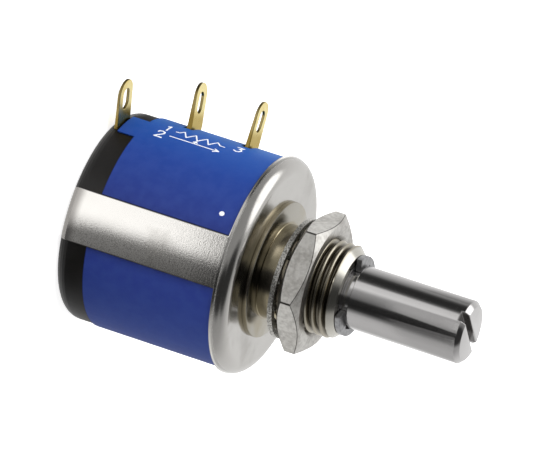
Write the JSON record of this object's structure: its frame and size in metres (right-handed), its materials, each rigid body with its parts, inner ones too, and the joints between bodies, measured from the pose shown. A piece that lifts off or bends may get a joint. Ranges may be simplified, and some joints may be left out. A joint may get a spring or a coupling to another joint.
{
  "type": "multi-turn potentiometer",
  "caption": "Panel-mount multi-turn potentiometer with a slotted shaft, threaded bushing, nut and lock washer, a strapped metal case and side solder lugs.",
  "frame": {"origin": "on the shaft axis at the mounting face, the front of the bushing's flange", "axes": "+Z along the shaft towards its slotted end, -X towards the two side lugs, -Y towards the strap seen in the picture"},
  "size_m": [0.0264, 0.0222, 0.0397],
  "materials": {
    "case_metal": "satin drawn metal",
    "bushing_metal": "plated, turned",
    "shaft_metal": "ground and polished",
    "nut_metal": "satin plated",
    "washer_metal": "plated spring steel",
    "ring_metal": "grey zinc",
    "body_black": "semi-gloss moulding",
    "label_blue": "printed film",
    "lug_gold": "gold plated",
    "contact_metal": "spring bronze",
    "element_wire": "wound resistance wire",
    "drum_plastic": "moulded"
  },
  "bodies": {
    "case": {"case_lid": "case_metal", "bushing": "bushing_metal", "housing": "body_black", "rear_cover": "body_black", "label_main": "label_blue", "label_side": "label_blue", "terminal_1": "lug_gold", "terminal_2": "lug_gold", "terminal_3": "lug_gold", "end_clip_1": "contact_metal", "end_clip_3": "contact_metal", "resistance_element": "element_wire", "takeoff_brush": "contact_metal", "thrust_washer": "contact_metal"},
    "rotor": {"shaft": "shaft_metal", "retaining_ring": "ring_metal", "rotor_drum": "drum_plastic", "collector_rail": "contact_metal", "slip_ring": "contact_metal"},
    "slider": {"carriage": "drum_plastic", "wiper_contact": "contact_metal", "collector_contact": "contact_metal"},
    "washer": {"lock_washer": "washer_metal"},
    "nut": {"hex_nut": "nut_metal"}
  },
  "joints": [
    {"name": "shaft_turn", "type": "hinge", "parent": "case", "child": "rotor", "pos_m": [0, 0, 0], "axis": [0, 0, 1], "range_deg": [-900, 900]},
    {"name": "wiper_travel", "type": "slide", "parent": "rotor", "child": "slider", "axis": [0, 0, 1], "range_m": [-0.00314, 0.00314]},
    {"name": "washer_travel", "type": "slide", "parent": "case", "child": "washer", "axis": [0, 0, 1], "range_m": [-0.00055, 0.00266]},
    {"name": "nut_turn", "type": "hinge", "parent": "washer", "child": "nut", "pos_m": [0, 0, 0], "axis": [0, 0, 1], "range_deg": [-255, 1215]}
  ],
  "couplings": [
    {"joint": "shaft_turn", "follows": "wiper_travel", "rad_per_m": -4986.7},
    {"joint": "nut_turn", "follows": "washer_travel", "rad_per_m": 7915.8}
  ]
}
